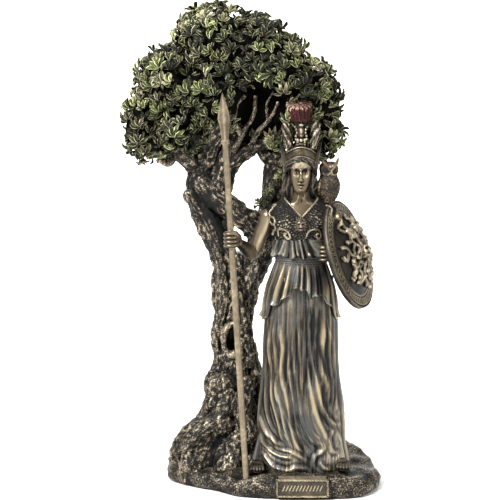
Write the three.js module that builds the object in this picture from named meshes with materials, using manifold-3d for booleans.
// A goddess standing under an olive tree on a rocky plinth, cold-cast in one piece, with a loose spear.
// Millimetres, +Z up. The origin is the middle of the flat underside and the figure faces -Y.
import * as THREE from "three";
import { mergeVertices } from "three/addons/utils/BufferGeometryUtils.js";
import Module from "manifold-3d";

const wasm = await Module();
wasm.setup();

// Plinth
const PLINTH_LENGTH = 131;
const PLINTH_DEPTH = 86;
const GROUND_HEIGHT = 14;

// Name plate on the front of the plinth
const PLAQUE_WIDTH = 31;
const PLAQUE_HEIGHT = 11;
const PLAQUE_THICKNESS = 2.4;
const PLAQUE_FRAME = 1.1;
const PLAQUE_SINK = 0.8;
const PLAQUE_LIFT = 2.2;
const PLAQUE_ROOT = 8;

// Figure, measured from the ground to the top of the head, and set back from the front edge of the plinth
const FIGURE_HEIGHT = 194;
const FIGURE_X = 15.5;
const FIGURE_SET_BACK = 31;

// Tree, measured from the underside to the top leaves. The middle of its crown stands behind the origin.
const TREE_HEIGHT = 292;
const CROWN_BACK = 8;
const LEAF_RELIEF = 3.2;
const LEAF_ROWS = 22;
const LEAVES_IN_ROW = 16;

// Spear
const SPEAR_DIAMETER = 3.6;
const SPEAR_LENGTH = 232.5;
const SPEAR_HEAD_LENGTH = 27;
const SPEAR_HEAD_WIDTH = 7.2;
const SPEAR_HEAD_THICKNESS = 4;
const SPEAR_COLLAR_DIAMETER = 5.4;
const SPEAR_COLLAR_LENGTH = 2.6;
const SPEAR_LEAN = 3.4;
const SPEAR_CLEARANCE = 0.35;
const SPEAR_SOCKET_DEPTH = 3;
const FINGER_RADIUS = 1.25;

// Shield
const SHIELD_DIAMETER = 67;
const SHIELD_DOME = 8.5;
const SHIELD_RIM_WIDTH = 8;
const SHIELD_THICKNESS = 2.2;
const SNAKE_RADIUS = 1.35;

// Owl, measured from the shoulder to the tips of the ears
const OWL_HEIGHT = 26.5;

const { clamp, lerp, degToRad, smoothstep } = THREE.MathUtils;
const point = (x, y, z) => new THREE.Vector3(x, y, z);
const bell = (distance, width) => Math.exp(-((distance / width) ** 2));
const turned = (x, y, z) => new THREE.Matrix4().makeRotationFromEuler(new THREE.Euler(x, y, z));
const moved = (parts, matrix) => parts.map((part) => part.clone().applyMatrix4(matrix));

// Three.js geometry as a solid that can be joined and cut, turned outside out if it is inside out
function solid(geometry) {
  const bare = geometry.clone();
  bare.deleteAttribute("normal");
  bare.deleteAttribute("uv");
  const merged = mergeVertices(bare, 1e-4);
  const triangles = [];
  for (let i = 0; i < merged.index.count; i += 3) {
    const [a, b, c] = merged.index.array.slice(i, i + 3);
    if (a !== b && b !== c && c !== a) triangles.push([a, b, c]);
  }
  const made = (faces) =>
    new wasm.Manifold(
      new wasm.Mesh({
        numProp: 3,
        vertProperties: new Float32Array(merged.attributes.position.array),
        triVerts: new Uint32Array(faces.flat()),
      }),
    );
  const first = made(triangles);
  return first.volume() > 0 ? first : made(triangles.map(([a, b, c]) => [a, c, b]));
}

const join = (parts) => parts.map(solid).reduce((whole, part) => whole.add(part));

// The geometry of a joined solid, without the skin of any pocket closed off inside it
function outerGeometry(made) {
  const mesh = made.getMesh();
  const parent = Uint32Array.from({ length: mesh.numVert }, (_, i) => i);
  const root = (i) => {
    while (parent[i] !== i) i = parent[i] = parent[parent[i]];
    return i;
  };
  const faces = [];
  for (let i = 0; i < mesh.triVerts.length; i += 3) {
    const face = mesh.triVerts.slice(i, i + 3);
    parent[root(face[1])] = root(face[0]);
    parent[root(face[2])] = root(face[0]);
    faces.push(face);
  }
  const skins = Map.groupBy(faces, (face) => root(face[0]));
  const outer = [...skins.values()].reduce((a, b) => (a.length > b.length ? a : b));
  const geometry = new THREE.BufferGeometry();
  geometry.setAttribute("position", new THREE.BufferAttribute(new Float32Array(mesh.vertProperties), 3));
  geometry.setIndex(outer.flatMap((face) => [...face]));
  geometry.computeVertexNormals();
  return geometry;
}

// A closed skin through a stack of rings with equal counts of points, with a fan over each end.
// Where crossed says so, a four-sided face is split along its other diagonal.
function loft(rings, crossed = () => false) {
  const sides = rings[0].length;
  const points = rings.flat();
  const corners = [];
  const middleOf = (ring) => ring.reduce((sum, p) => sum.add(p), point(0, 0, 0)).divideScalar(sides);
  const first = points.push(middleOf(rings[0])) - 1;
  const last = points.push(middleOf(rings.at(-1))) - 1;
  for (let s = 0; s < sides; s++) {
    const next = (s + 1) % sides;
    for (let r = 0; r + 1 < rings.length; r++) {
      const [a, b, c, d] = [r * sides + s, r * sides + next, (r + 1) * sides + next, (r + 1) * sides + s];
      corners.push(...(crossed(r, s) ? [a, b, d, b, c, d] : [a, b, c, a, c, d]));
    }
    const top = (rings.length - 1) * sides;
    corners.push(next, s, first, top + s, top + next, last);
  }
  const geometry = new THREE.BufferGeometry().setFromPoints(points);
  return geometry.setIndex(corners);
}

// A ring of points, one for each of a count of turns
const ringOf = (sides, at) => Array.from({ length: sides }, (_, s) => at((2 * Math.PI * s) / sides, s));

// Values between the rows of a table whose first column rises
function table(rows) {
  return (at) => {
    const i = clamp(rows.findIndex((row) => row[0] >= at), 1, rows.length - 1);
    const [low, high] = at > rows.at(-1)[0] ? rows.slice(-2) : [rows[i - 1], rows[i]];
    const t = clamp((at - low[0]) / (high[0] - low[0]), 0, 1);
    return low.slice(1).map((value, k) => lerp(value, high[k + 1], t));
  };
}

// A limb, bough or snake: a round section carried along a smooth curve through rows of x, y, z, radius
function limb(rows, sides, steps, roughness = () => 1) {
  const curve = new THREE.CatmullRomCurve3(rows.map((row) => point(...row)), false, "centripetal");
  const frames = curve.computeFrenetFrames(steps);
  const rings = Array.from({ length: steps + 1 }, (_, i) => {
    const along = (i / steps) * (rows.length - 1);
    const k = Math.min(Math.floor(along), rows.length - 2);
    const centre = curve.getPoint(i / steps);
    return ringOf(sides, (turn) => {
      const r = lerp(rows[k][3], rows[k + 1][3], along - k) * roughness(turn, i / steps);
      const across = frames.normals[Math.round(i)].clone().multiplyScalar(r * Math.cos(turn));
      return across.addScaledVector(frames.binormals[i], r * Math.sin(turn)).add(centre);
    });
  });
  return loft(rings);
}

// An ellipsoid with a count of faces across and up, turned about its middle by angles in degrees
function egg(centre, radii, [across, up], turn = [0, 0, 0]) {
  const geometry = new THREE.SphereGeometry(1, across, up).rotateX(Math.PI / 2).scale(...radii);
  return geometry.applyMatrix4(turned(...turn.map(degToRad))).translate(...centre);
}

// A round solid about +Z from a profile of radius and height that starts and ends on the axis
function lathe(sides, profile) {
  const points = profile.map(([r, z]) => new THREE.Vector2(r, z));
  return new THREE.LatheGeometry(points, sides).rotateX(Math.PI / 2);
}

// Plinth: the outline of the rock seen from above, from the left end past the front
const PLINTH_OUTLINE = [
  [-65, -8], [-52, -21], [-37, -30], [-21, -42.5], [4, -47], [32, -47], [51, -43], [61, -29],
  [65, -14], [60, 8], [46, 26], [20, 37], [-12, 40], [-40, 35], [-58, 22], [-66, 7],
];
const PLINTH_SIDES = 26;
// The outline is drawn 131 units long and 86 deep
const plinthScale = [PLINTH_LENGTH / 131, PLINTH_DEPTH / 86];
const plinthCurve = new THREE.CatmullRomCurve3(
  PLINTH_OUTLINE.map(([x, y]) => point(x * plinthScale[0], y * plinthScale[1], 0)),
  true,
);
const PLINTH_FRONT = Math.min(...PLINTH_OUTLINE.map(([, y]) => y)) * plinthScale[1];
// Rings of the rock from the underside, round the edge and over the top: share of outline and height
const PLINTH_RINGS = [[0.965, 0], [1, 0.25], [0.985, 0.6], [0.9, 1], [0.68, 1], [0.4, 1]];

// The height of the ground: level round the figure, falling to the front left and rising behind
function ground(x, y) {
  const [u, v] = [x / plinthScale[0], y / plinthScale[1]];
  const fall = 3.4 * smoothstep(-u, 0, 45) + 2.5 * smoothstep(u, 35, 62) + 1.8 * smoothstep(-v, 26, 46);
  const rise = 4 * smoothstep(v, -6, 14) + 1.5 * bell(u - 44, 9) * bell(v + 6, 12);
  const lumps = 0.8 * Math.sin(u * 0.31 + 1) * Math.sin(v * 0.37) + 0.5 * Math.sin(u * 0.13 - v * 0.21);
  return GROUND_HEIGHT + plinthScale[0] * (rise + lumps - fall);
}

function plinth() {
  return PLINTH_RINGS.map(([share, lift]) =>
    ringOf(PLINTH_SIDES, (turn, s) => {
      const p = plinthCurve.getPoint(s / PLINTH_SIDES).multiplyScalar(share);
      const rough = lift > 0 && lift < 1 ? 1 + 0.012 * Math.sin(s * 2.4) + 0.01 * Math.sin(s * 5.1) : 1;
      return point(p.x * rough, p.y * rough, lift * ground(p.x, p.y));
    }),
  );
}

// The plate is a ring-shaped frame round a sunken field, sunk into the front of the rock
function plaque() {
  const frame = new THREE.Shape().setFromPoints(
    [[-1, -1], [1, -1], [1, 1], [-1, 1]].map(
      ([x, z]) => new THREE.Vector2((x * PLAQUE_WIDTH) / 2, (z * PLAQUE_HEIGHT) / 2),
    ),
  );
  const depth = PLAQUE_THICKNESS + PLAQUE_ROOT;
  const whole = new THREE.ExtrudeGeometry(frame, { depth, bevelEnabled: false });
  const field = new THREE.BoxGeometry(
    PLAQUE_WIDTH - 2 * PLAQUE_FRAME,
    PLAQUE_HEIGHT - 2 * PLAQUE_FRAME,
    2 * PLAQUE_SINK,
  ).translate(0, 0, depth);
  const front = plinthCurve.getPoint(4.5 / PLINTH_OUTLINE.length).y;
  const standing = new THREE.Matrix4()
    .makeRotationX(Math.PI / 2)
    .setPosition(FIGURE_X, front + PLAQUE_ROOT, PLAQUE_LIFT + PLAQUE_HEIGHT / 2);
  const [plate, pocket] = moved([whole, field], standing);
  return solid(plate).subtract(solid(pocket));
}

// The tree is drawn 292 units high
const treeScale = TREE_HEIGHT / 292;

// Trunk with its spreading roots: height, left, right, front and back, and how far the roots stand out
const TRUNK = [
  [3, -63, 3, -22, 35, 0.14], [12, -62.5, 1, -20, 33, 0.16], [22, -60, -2, -16, 29, 0.15],
  [29, -54, -3, -13, 27, 0.13], [35, -45, -4, -10, 25, 0.11], [48, -42.5, -6, -7, 22, 0.1],
  [62, -42, -10, -5.5, 21, 0.08], [73, -37, -12.5, -5, 20, 0.06], [88, -38.5, -14, -5, 20, 0.06],
  [104, -36.5, -13, -4, 19, 0.06], [122, -37.5, -10, -5, 20, 0.06], [140, -34, -9, -3, 18, 0.06],
];
const ROOT_COUNT = 8;
// Boughs: rows of x, y, z and radius, from the thick end
const BOUGHS = [
  [
    [-26, 7, 116, 9], [-30.5, 6, 136, 8.2], [-38, 6, 155, 8.4], [-45, 6, 172, 8.4], [-46, 6, 188, 8.2],
    [-42, 5, 204, 7],
  ],
  [[-48, 3, 190, 7], [-38, 1, 177, 7.2], [-22, 1, 165, 7], [-9, 3, 153, 8], [-8, 6, 136, 8.6]],
  [
    [-16, 8, 122, 9], [-9, 8, 138, 8.6], [-5, 8, 156, 8.2], [-1, 9, 172, 7.2], [0, 9, 188, 6.6],
    [2, 9, 206, 6.4],
  ],
  [[-38, 5, 172, 8], [-33, 4, 188, 8.6], [-29, 4, 204, 7], [-22, 4, 222, 4.6], [-15, 3, 236, 3.4]],
  [[-33, 3, 186, 6.4], [-24, 3, 199, 6], [-12, 3, 207, 4.6], [2, 3, 212, 4], [14, 4, 220, 3.4]],
  [[-45, 4, 192, 7], [-54, 3, 201, 6], [-66, 2, 205, 5], [-78, 2, 210, 4]],
  [[-43, 2, 194, 6.4], [-38, -2, 208, 5.4], [-32, -5, 220, 4.4], [-30, -6, 234, 3.2]],
  [[-43, 1, 165, 4.6], [-50, -1, 174, 3.8], [-54.5, -2, 180, 3.5]],
  [[-16, 4, 210, 3.4], [-7, 6, 204, 3.8], [-2, 8, 194, 3.8], [-2.4, 9, 182, 4]],
];
// The hollow in the front of the trunk and the roll of bark round it
const KNOT_HOLE = { centre: [-25, -5, 88], radii: [4.2, 6, 8.4], rim: 1.9 };

const bark = (turn, t) => 1 + 0.09 * Math.sin(3 * turn + 7 * t) + 0.05 * Math.sin(5 * turn - 11 * t);

function trunk() {
  const bole = TRUNK.map(([z, left, right, front, back, relief], row) =>
    ringOf(2 * ROOT_COUNT, (turn, s) => {
      const out = 1 + (s % 2 ? -relief : relief) + 0.5 * relief * Math.sin(2.3 * s + row);
      const x = (left + right) / 2 + ((right - left) / 2) * out * Math.cos(turn + 0.07 * row);
      return point(x, (front + back) / 2 + ((back - front) / 2) * out * Math.sin(turn + 0.07 * row), z);
    }),
  );
  const { centre, radii, rim } = KNOT_HOLE;
  const roll = new THREE.TorusGeometry(radii[0] + rim * 0.6, rim, 4, 9)
    .rotateX(Math.PI / 2)
    .scale(1, 1, radii[2] / radii[0])
    .translate(...centre);
  return [loft(bole), ...BOUGHS.map((rows) => limb(rows, 5, rows.length - 1, bark)), roll];
}

const knotHole = () => [egg(KNOT_HOLE.centre, KNOT_HOLE.radii, [8, 5])];

// Crown: its lobes as middle and radii, all wrapped in one leafy skin about the plane y = 0
const LOBES = [
  [[-36, 0, 266], [25, 26, 24]], [[-14, 0, 260], [22, 26, 25]], [[1, 0, 249], [22, 28, 25]],
  [[18, 1, 235], [20, 26, 21]], [[28, 1, 216], [11, 18, 17]], [[-62, 0, 244], [20, 27, 22]],
  [[-78, 0, 225], [12, 20, 16]], [[-74, -2, 208], [16, 19, 9]],
  [[-38, -4, 236], [28, 31, 22]], [[-55, -6, 217], [16, 22, 14]], [[-8, 2, 224], [24, 20, 15]],
];
// The middle line of the crown: x and height
const CROWN_ENDS = [-95, 42];
const crownLine = table([
  [-95, 215], [-74, 217], [-58, 231], [-36, 248], [-6, 246], [16, 230], [30, 215], [42, 212],
]);
// The small spray on the twig behind the figure's shoulder
const LOW_SPRAY = { centre: [-11, -8, 170], radii: [6, 5, 5] };

// How far the lobes reach out from the middle line at one x, at a turn from straight up towards the back
function crownReach(x, turn) {
  const [height] = crownLine(x);
  const exits = LOBES.map(([[cx, cy, cz], [rx, ry, rz]]) => {
    const share = 1 - ((x - cx) / rx) ** 2;
    const start = new THREE.Vector2(-cy / ry, (height - cz) / rz);
    const way = new THREE.Vector2(Math.sin(turn) / ry, Math.cos(turn) / rz);
    const middle = start.dot(way);
    const root = middle ** 2 - way.lengthSq() * (start.lengthSq() - share);
    return share > 0 && root > 0 ? (Math.sqrt(root) - middle) / way.lengthSq() : 0;
  });
  return Math.max(...exits);
}

// Rows of leaf tips stand out of the skin, each row set half a leaf round from its neighbour.
function leafySkin(rows, leaves, ringAt) {
  const rings = Array.from({ length: rows }, (_, r) =>
    ringOf(2 * leaves, (turn, s) => {
      const tip = (r + s) % 2;
      const relief = tip ? 0.8 + 0.4 * Math.sin(7 * s + 4 * r) : -0.5 + 0.3 * Math.sin(3 * s - 5 * r);
      return ringAt(r / (rows - 1), turn, tip, (LEAF_RELIEF / treeScale) * relief);
    }),
  );
  return loft(rings, (r, s) => (r + s) % 2 === 1);
}

function crown() {
  const skin = leafySkin(LEAF_ROWS, LEAVES_IN_ROW, (share, turn, tip, relief) => {
    const x = lerp(...CROWN_ENDS, share) + 1.6 * Math.sin(3 * turn + 9 * share);
    const droop = turn + (tip ? 0.1 * Math.sign(Math.sin(turn)) : 0);
    const r = Math.max(crownReach(clamp(x, -91, 40), droop), 4) + relief;
    return point(x, r * Math.sin(droop), crownLine(x)[0] + r * Math.cos(droop));
  });
  const { centre, radii } = LOW_SPRAY;
  const low = leafySkin(3, 4, (share, turn, tip, relief) => {
    const [height, r] = [2 * share - 1, Math.sqrt(1.3 - (2 * share - 1) ** 2)];
    const out = point(r * Math.cos(turn), r * Math.sin(turn), height).multiply(point(...radii));
    return out.addScaledVector(out.clone().normalize(), 0.5 * relief).add(point(...centre));
  });
  return [skin, low];
}

// Figure, drawn 194 units high and standing at the origin
const figureScale = FIGURE_HEIGHT / 194;
const onGround = new THREE.Matrix4()
  .makeScale(figureScale, figureScale, figureScale)
  .setPosition(FIGURE_X, PLINTH_FRONT + FIGURE_SET_BACK, GROUND_HEIGHT);
const onFigure = (place) => point(...place).applyMatrix4(onGround);

// A turn of 0 degrees faces the front and grows towards +X.
// Dress: height, half width, half depth and sideways drift
const dress = table([
  [-4, 27.4, 21, 0.8], [1, 27.4, 21, 0.8], [14, 25.6, 18.6, 0.6], [27, 25.2, 17.6, 0.3],
  [39, 24.6, 17, 0.2],
  [52, 23, 16.4, -0.1], [64, 22.2, 16, -0.3], [80, 21.8, 15.6, -0.2], [95, 21, 14.6, 0],
  [110, 18.6, 12.4, 0],
]);
const SKIRT_RINGS = [-4, 1, 11, 30, 58, 98];
// Ridges of the folds: turn in degrees at the waist and at the hem, and depth, from the back round the left
const FOLDS = [
  [-176, -176, 1.8], [-152, -152, 1.8], [-128, -128, 1.8], [-105, -108, 1.8], [-88, -93, 1.8],
  [-72, -77, 1.6], [-57, -62, 1.1], [-43, -50, 1], [-31, -37, 1.5], [-20, -23, 2.2], [-11, -8, 2.4],
  [-3, 6, 2.5],
  [5, 18, 2.5], [13, 29, 2.5], [21, 40, 2.4], [31, 52, 1.6], [44, 64, 1], [57, 77, 1.2], [71, 91, 1.8],
  [89, 106, 1.8], [110, 123, 1.8], [134, 140, 1.8], [160, 162, 1.8],
];
// The legs under the cloth: turn and height of the middle, depth, half width and half height
const LEGS = [[-36, 76, 2.4, 17, 34], [38, 70, 2.8, 17, 32], [38, 52, 1.6, 12, 9], [-38, 50, 1.2, 12, 9]];

// The turns of all ridges and of the furrows between them at one height, with how far each stands out
function foldColumns(z) {
  const down = 1 - clamp(z / 120, 0, 1);
  return FOLDS.flatMap(([waist, hem, depth], i) => {
    const [nextWaist, nextHem, nextDepth] = FOLDS[(i + 1) % FOLDS.length];
    const ridge = lerp(waist, hem, down ** 1.6);
    const next = lerp(nextWaist, nextHem, down ** 1.6) + (i + 1 === FOLDS.length ? 360 : 0);
    const strength = 0.45 + 0.6 * down;
    return [[ridge, strength * depth], [(ridge + next) / 2, -strength * 0.45 * (depth + nextDepth)]];
  });
}

function legSwell(degrees, z) {
  const swells = LEGS.map(
    ([turn, height, depth, width, spread]) => depth * bell(degrees - turn, width) * bell(z - height, spread),
  );
  return swells.reduce((sum, value) => sum + value);
}

// A ring of cloth whose height may change round it
function clothRing(turns, height, size, swell) {
  return turns.map((degrees) => {
    const z = height(degrees);
    const [a, b, drift] = size(z);
    const out = swell(degrees, z);
    const turn = degToRad(degrees);
    return point(drift + (a + out) * Math.sin(turn), -(b + out) * Math.cos(turn), z);
  });
}

const evenTurns = (count) => Array.from({ length: count }, (_, i) => (360 * i) / count - 180);

function skirt() {
  return loft(
    SKIRT_RINGS.map((z) => {
      const columns = foldColumns(z);
      const swell = (degrees) => columns.find(([turn]) => turn === degrees)[1] + legSwell(degrees, z);
      // The hem lifts over each foot
      const hem = (degrees) => (z < 4 ? z + 5 * bell(degrees + 62, 16) + 4 * bell(degrees - 64, 14) : z);
      return clothRing(columns.map(([turn]) => turn), hem, dress, swell);
    }),
  );
}

// The overfold hangs from the belt in pleats, short in front and long at the sides, with a stepped hem
const overfold = table([
  [84, 22.8, 17, 0], [92, 22.4, 16.6, 0], [101, 21.6, 15.8, 0], [110, 20, 14.2, 0], [118, 17.4, 12, 0],
  [125, 15, 10.2, 0],
]);
const PLEATS = 16;
const pleat = (degrees) => Math.cos(degToRad(degrees * PLEATS));
function overfoldHem(degrees) {
  const side = Math.abs(Math.sin(degToRad(degrees))) ** 1.2;
  return (Math.abs(degrees) < 110 ? 110 - 19 * side : 92) - 1.6 * pleat(degrees);
}
const overfoldSwell = (degrees, z) => (1.5 * pleat(degrees) * (128 - z)) / 28;

function peplum() {
  const turns = evenTurns(2 * PLEATS);
  const outer = [0, 0.4, 1].map((share) =>
    clothRing(turns, (degrees) => lerp(126, overfoldHem(degrees), share), overfold, overfoldSwell),
  );
  const inner = clothRing(turns, overfoldHem, overfold, (degrees, z) => overfoldSwell(degrees, z) - 3.4);
  return loft([...outer, inner]);
}

// Upper body, with the cloth bloused over the belt: height, half width, half depth and drift
const TORSO = [
  [123.6, 15.4, 11, 0], [127.8, 15.4, 11, 0], [128.6, 16.6, 12.8, 0], [133.5, 16.8, 12.8, 0],
  [138, 16.2, 12, 0],
  [139, 17.4, 13, 0], [147, 18.2, 13, 0], [154, 20.4, 11.6, 0], [158, 18.8, 9.8, 0],
  [161.4, 11.4, 7.8, 0], [164.4, 6.2, 5.8, 0],
];
function torsoSwell(degrees, z) {
  const cloth = 0.9 * Math.sin(degToRad(degrees) * 12) * bell(z - 132, 4.5);
  const breast = 2.6 * bell(Math.abs(degrees) - 33, 18) * bell(z - 148.5, 6);
  return cloth + breast;
}

const torsoRing = ([z]) => clothRing(evenTurns(18), () => z, table(TORSO), torsoSwell);
const upperBody = () => loft(TORSO.map(torsoRing));

// A wriggling snake on a surface, where onto gives the place that lies a way across and a way up it
function snake(turn, length, radius, onto) {
  const [c, s] = [Math.cos(degToRad(turn)), Math.sin(degToRad(turn))];
  const rows = [[-0.5, 0.9, 0.6], [-0.25, -1.6, 0.95], [0, 0.9, 1], [0.25, 1.7, 0.95], [0.5, -0.6, 1.2]];
  const bent = rows.map(([share, side, thick]) => {
    const [along, across] = [share * length, side * radius * 1.3];
    return [...onto(along * c - across * s, along * s + across * c), radius * thick];
  });
  return limb(bent, 3, 4);
}
// Snakes along the edge of the scaled breastplate: turn round the body, height, own turn and length
const EDGE_SNAKES = [
  [-64, 154, 70, 10], [-54, 145, 110, 10], [-26, 139.5, 10, 11], [28, 139.5, -12, 11], [60, 149, 75, 11],
];
const MASK_ON_BREAST = [[-0.7, -13.6, 148.1], [2.5, 2.2, 3.9]];

function breastplate() {
  const snakes = EDGE_SNAKES.map(([degrees, height, turn, length]) =>
    snake(turn, length, 1.1, (across, up) => {
      const [a, b] = table(TORSO)(height + up);
      const way = degToRad(degrees) + across / a;
      return [(a + 0.6) * Math.sin(way), -(b + 0.6) * Math.cos(way), height + up];
    }),
  );
  return [egg(...MASK_ON_BREAST, [6, 3]), ...snakes];
}

// Head and neck: height, half width, half depth and how far its middle lies behind the line of the neck
const HEAD = [-0.6, -1, 181];
const HEAD_ROWS = [
  [158, 6, 5.4, 1], [163, 4.6, 4.6, 0.8], [166.6, 4.5, 4.8, 0.6], [167.2, 3.4, 6.2, -2.4],
  [169.6, 5, 7.4, -2],
  [173.5, 6.4, 8.2, -1.6], [177.5, 6.9, 8.5, -1.4], [181, 7.2, 8.6, -1.2], [186, 7.4, 8.6, -1],
  [190, 6, 7, 0],
];
// The hair behind the head, falling over the back and the shoulders
const HAIR_ROWS = [
  [150, 9, 4, 7.6], [158, 11.6, 5.6, 6], [166, 11, 6.8, 4.4], [174, 10.2, 7.6, 3.4], [184, 9.2, 8, 2.6],
];

const faceTurns = evenTurns(14);
function faceSwell(degrees, z) {
  const nose = 2 * bell(degrees, 12) * bell(z - 176.6, 3.4);
  const eyes = -0.8 * bell(Math.abs(degrees) - 27, 13) * bell(z - 180.6, 2.4);
  return nose + eyes + 0.6 * bell(degrees, 16) * bell(z - 170, 2);
}

const fromHead = ([x, y, z]) => [x + HEAD[0], y + HEAD[1], z + HEAD[2]];
const headRing = (turns, [z, a, b, y], swell) =>
  clothRing(turns, () => z, () => [a, b, 0], swell).map((p) => p.add(point(HEAD[0], y, 0)));

function head() {
  const lock = (degrees) => 0.8 * Math.cos(degToRad(degrees) * 5);
  return [
    loft(HEAD_ROWS.map((row) => headRing(faceTurns, row, faceSwell))),
    loft(HAIR_ROWS.map((row) => headRing(evenTurns(10), row, lock))),
  ];
}

// Helmet, as limbs set out from the middle of the head: for the left side, and mirrored for the right
const HELMET_LIMBS = [
  [[5, -4.4, 11, 3], [6.6, -5.2, 18, 2.8], [8.2, -5, 24, 2.6], [9.6, -4, 27.4, 1.6]],
  [[8.4, -0.6, -3, 1.6], [9.2, -2, 2, 1.8], [10.2, -2.4, 7, 1.5], [11.6, -2, 11.4, 0.8]],
];
const HAIR = [
  [-8.4, -1, -1.5, 1.6], [-6, -7.6, 2, 1.9], [0, -10, 5, 1.9], [6, -7.6, 2, 1.9], [8.4, -1, -1.5, 1.6],
];
// The tall stand of the crest and the fan of hair on it: height, half width, half depth and middle
const CREST = [
  [8, 5, 8, 0], [15, 3.6, 8.4, -0.4], [21, 3.2, 7.6, -1.4], [27, 4.4, 6.4, -1.6], [27.6, 5.2, 6.6, -1.8],
  [34, 6.2, 7.4, -1.6], [40.6, 7.4, 8.4, -0.8],
];

const stack = (rows, sides) =>
  loft(
    rows.map(([z, a, b, y]) =>
      ringOf(sides, (turn) => point(...fromHead([a * Math.cos(turn), y + b * Math.sin(turn), z]))),
    ),
  );

// The brow plate: a curved band with a pointed top, bent round the front of the helmet
function browPlate() {
  const outline = new THREE.Shape();
  outline.moveTo(-8.8, 0).quadraticCurveTo(0, 5.2, 8.8, 0);
  outline.lineTo(8.8, 4.7).quadraticCurveTo(0, 13.9, -8.8, 4.7);
  const plate = new THREE.ExtrudeGeometry(outline, { depth: 9, bevelEnabled: false, curveSegments: 3 });
  const { position } = plate.attributes;
  for (let i = 0; i < position.count; i++) {
    position.setZ(i, position.getZ(i) - 6.4 * (position.getX(i) / 8.8) ** 2);
  }
  return plate.rotateX(Math.PI / 2).translate(...fromHead([0, -2.4, 3.8]));
}

function helmet() {
  const mirrored = (rows) => rows.map(([a, ...rest]) => [-a, ...rest]);
  const limbs = HELMET_LIMBS.flatMap((rows) => [rows, mirrored(rows)]);
  return [
    egg(fromHead([0, 1.2, 5]), [9.4, 11.2, 10.4], [10, 6]),
    browPlate(),
    stack(CREST, 8),
    ...[HAIR, ...limbs].map((rows) => limb(rows.map(([a, b, c, r]) => [...fromHead([a, b, c]), r]), 4, 3)),
  ];
}

// Arms: shoulder, elbow and wrist of each
const ARMS = [
  [[-18, 0, 156], [-28.6, -1, 130], [-38.5, -17.4, 139.3]],
  [[18, 0, 156], [25, 2, 127], [14.6, -17.4, 131.4]],
];
const LEFT_HAND = [13.6, -20.6, 131.9];
const RIGHT_FIST = [-41.5, -22, 140.8];

function arms() {
  const between = (a, b, t, radius) => [...a.map((value, i) => lerp(value, b[i], t)), radius];
  const limbs = ARMS.map(([shoulder, elbow, wrist]) =>
    limb(
      [
        [...shoulder, 5.4],
        between(shoulder, elbow, 0.5, 4.3),
        [...elbow, 3.9],
        between(elbow, wrist, 0.35, 4.1),
        [...wrist, 2.6],
      ],
      7,
      6,
    ),
  );
  return [...limbs, ...leftHand()];
}

// A closed hand as a stack of rings along the bar it holds, swelling at each of the four fingers
function knuckles(middle, wide, deep, finger) {
  const rings = Array.from({ length: 9 }, (_, i) => {
    const swell = i % 2 ? 1 : 0.8;
    const lift = (i - 4) * finger;
    return ringOf(7, (turn) => point(wide * swell * Math.cos(turn), deep * swell * Math.sin(turn), lift));
  });
  return loft(rings).translate(...middle);
}

const leftHand = () => [knuckles(LEFT_HAND, 4.4, 3.4, 1.2)];

// Feet: each a sole with toes that show under the hem
function feet() {
  return [-26.4, 25.4].flatMap((x) => [
    egg([x, -13, 1.8], [4.4, 9.4, 3.2], [6, 3]),
    ...[-3, 0, 3].map((toe) => egg([x + toe, -22.6 + Math.abs(toe) * 0.3, 1.6], [1.4, 2.8, 1.8], [4, 2])),
  ]);
}

// Shield, drawn flat about the origin with its face along +Z, then turned onto the arm
const SHIELD_CENTRE = [29, 2, 128.6];
const SHIELD_FACING = [0.884, -0.35, 0.309];
// Snakes of the relief in two rings: count, distance out and length, both as shares of the radius
const RELIEF = [[3, 0.34, 0.57], [5, 0.6, 0.54]];
// The mask in its middle: half width, half height and depth, as shares of the radius
const MASK_ON_SHIELD = [0.167, 0.203, 0.107];

function shield() {
  const radius = SHIELD_DIAMETER / 2;
  const inner = radius - SHIELD_RIM_WIDTH;
  const lip = 0.6 * SHIELD_THICKNESS;
  const domeAt = (r) => lip + SHIELD_DOME * Math.cos((Math.PI / 2) * Math.min(r / inner, 1)) ** 0.8;
  const disc = lathe(18, [
    [0, domeAt(0)], [inner * 0.6, domeAt(inner * 0.6)], [inner, 0.9 * lip], [radius, 0.5 * lip],
    [radius, -SHIELD_THICKNESS], [inner, -SHIELD_THICKNESS], [0, domeAt(0) - 2 * SHIELD_THICKNESS],
  ]);
  const snakes = RELIEF.flatMap(([count, share, length]) =>
    Array.from({ length: count }, (_, i) => {
      const [r, c] = [share * radius, (2 * Math.PI * i) / count];
      return snake(70 + i * 47, length * radius, SNAKE_RADIUS, (across, up) => {
        const [x, y] = [r * Math.cos(c) + across, r * Math.sin(c) + up];
        return [x, y, domeAt(Math.hypot(x, y)) + SNAKE_RADIUS * 0.4];
      });
    }),
  );
  const mask = egg([0, 0, domeAt(0)], MASK_ON_SHIELD.map((share) => share * radius), [7, 5]);
  const facing = point(...SHIELD_FACING).normalize();
  const up = point(0, 0, 1).addScaledVector(facing, -facing.z).normalize();
  const onArm = new THREE.Matrix4().makeBasis(up.clone().cross(facing), up, facing);
  onArm.setPosition(onFigure(SHIELD_CENTRE));
  return moved([disc, mask, ...snakes], onArm);
}

// Owl on the left shoulder, drawn 30 units high: height, half width and half depth of its body
const OWL_PLACE = [16.4, 3, 160];
const OWL_BODY = [
  [-2, 2.2, 2.2], [3, 5.6, 5.2], [8, 7.2, 6.4], [14, 7, 6.2], [18.4, 6, 5.2], [22.6, 7, 5.8], [27, 5, 4],
];

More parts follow.
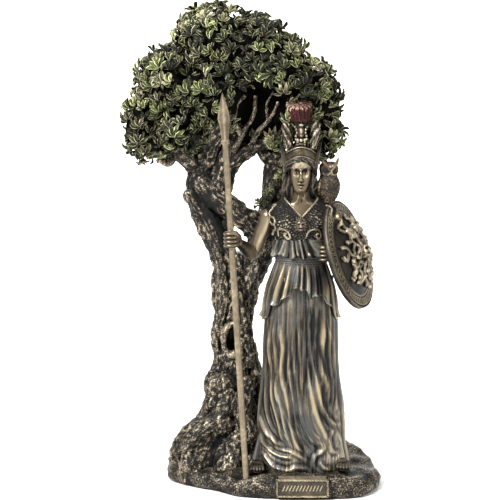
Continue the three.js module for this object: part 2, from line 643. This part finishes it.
function owl() {
  const ring = ([z, a, b]) => ringOf(8, (turn) => point(a * Math.cos(turn), b * Math.sin(turn), z));
  const body = loft(OWL_BODY.map(ring));
  const pairs = [-1, 1].flatMap((hand) => [
    limb([[hand * 3.8, -1, 24.6, 2.2], [hand * 6, -1.6, 30, 0.4]], 4, 1),
    egg([hand * 2.9, -5, 22.4], [2.2, 1.3, 2.2], [6, 3]),
  ]);
  const beak = egg([0, -6.2, 20.2], [0.8, 1.3, 1.8], [4, 3]);
  const scale = OWL_HEIGHT / 30;
  const perched = turned(0, 0, degToRad(14)).scale(point(scale, scale, scale));
  perched.setPosition(onFigure(OWL_PLACE));
  return moved([body, beak, ...pairs], perched);
}

function figure() {
  return [skirt(), peplum(), upperBody(), ...breastplate(), ...head(), ...helmet(), ...arms(), ...feet()];
}

// The line of the spear through the right fist
const FIST = onFigure(RIGHT_FIST);
const SPEAR_LINE = point(-Math.sin(degToRad(SPEAR_LEAN)), 0, Math.cos(degToRad(SPEAR_LEAN)));
const spearAt = (height) => FIST.clone().addScaledVector(SPEAR_LINE, (height - FIST.z) / SPEAR_LINE.z);
const socketMouth = ground(spearAt(GROUND_HEIGHT).x, spearAt(GROUND_HEIGHT).y);
const SPEAR_FOOT = spearAt(socketMouth - SPEAR_SOCKET_DEPTH + SPEAR_CLEARANCE);

// The thumb over the closed fingers, in finger radii from the middle of the fist: x, y, z, radius
const THUMB = [[3.2, 0.7, 0.7, 1.17], [1.8, -2.5, 3.2, 1.1], [-1, -2.6, 4.4, 0.97]];

// The fist: four fingers closed round the spear, with the thumb over them
function fist() {
  const wrap = SPEAR_DIAMETER / 2 + SPEAR_CLEARANCE + FINGER_RADIUS * 1.7;
  const palm = 0.55 * FINGER_RADIUS;
  const leaning = turned(0, -degToRad(SPEAR_LEAN), 0).setPosition(FIST);
  const hand = knuckles([palm, 0.2 * FINGER_RADIUS, 0], wrap + palm, wrap, FINGER_RADIUS * 0.92);
  const thumb = limb(THUMB.map((row) => row.map((value) => value * FINGER_RADIUS)), 4, 2);
  return moved([hand, thumb], leaning);
}

// The spear: a shaft with its collar and a leaf-shaped head, grown by a clearance for the way cut for it
function spear(grow, sides) {
  const shaft = SPEAR_DIAMETER / 2 + grow;
  const collar = SPEAR_COLLAR_DIAMETER / 2 + grow;
  const neck = SPEAR_LENGTH - SPEAR_HEAD_LENGTH;
  const low = neck - SPEAR_COLLAR_LENGTH;
  const outline = [[0, -grow], [shaft, -grow], [shaft, low], [collar, low], [collar, neck], [0, neck]];
  const rod = lathe(sides, outline);
  const sections = [[-0.05, 0.55, 0.9], [0.2, 0.72, 0.9], [0.42, 1, 1], [0.7, 0.66, 0.7], [1, 0.06, 0.1]];
  const blade = sections.map(([share, wide, deep]) => {
    const [w, t] = [(wide * SPEAR_HEAD_WIDTH) / 2 + grow, (deep * SPEAR_HEAD_THICKNESS) / 2 + grow];
    const z = neck + share * SPEAR_HEAD_LENGTH;
    return ringOf(6, (turn) => point(w * Math.cos(turn), t * Math.sin(turn), z));
  });
  const leaning = turned(0, -degToRad(SPEAR_LEAN), 0).setPosition(SPEAR_FOOT);
  return join(moved([rod, loft(blade)], leaning));
}

// The casting: rock, tree and figure in one, with a way for the spear through the fist and into the rock
function casting() {
  const grown = new THREE.Matrix4().makeScale(treeScale, treeScale, treeScale);
  const crownPlace = grown.clone().setPosition(0, CROWN_BACK, 0);
  const goddess = [...moved(figure(), onGround), ...shield(), ...owl()];
  return join([loft(plinth()), ...moved(trunk(), grown)])
    .subtract(join(moved(knotHole(), grown)))
    .add(join([...moved(crown(), crownPlace), ...goddess, ...fist()]))
    .add(plaque())
    .subtract(spear(SPEAR_CLEARANCE, 8));
}

const bronze = new THREE.MeshStandardMaterial({ color: 0x6b5a45, roughness: 0.45, metalness: 0.7 });
const paleBronze = new THREE.MeshStandardMaterial({ color: 0x9c8868, roughness: 0.4, metalness: 0.7 });

function piece(name, made, material) {
  const mesh = new THREE.Mesh(outerGeometry(made), material);
  mesh.name = name;
  return mesh;
}

const athenaStatue = new THREE.Group();
athenaStatue.add(piece("statue", casting(), bronze), piece("spear", spear(0, 10), paleBronze));

export default athenaStatue;
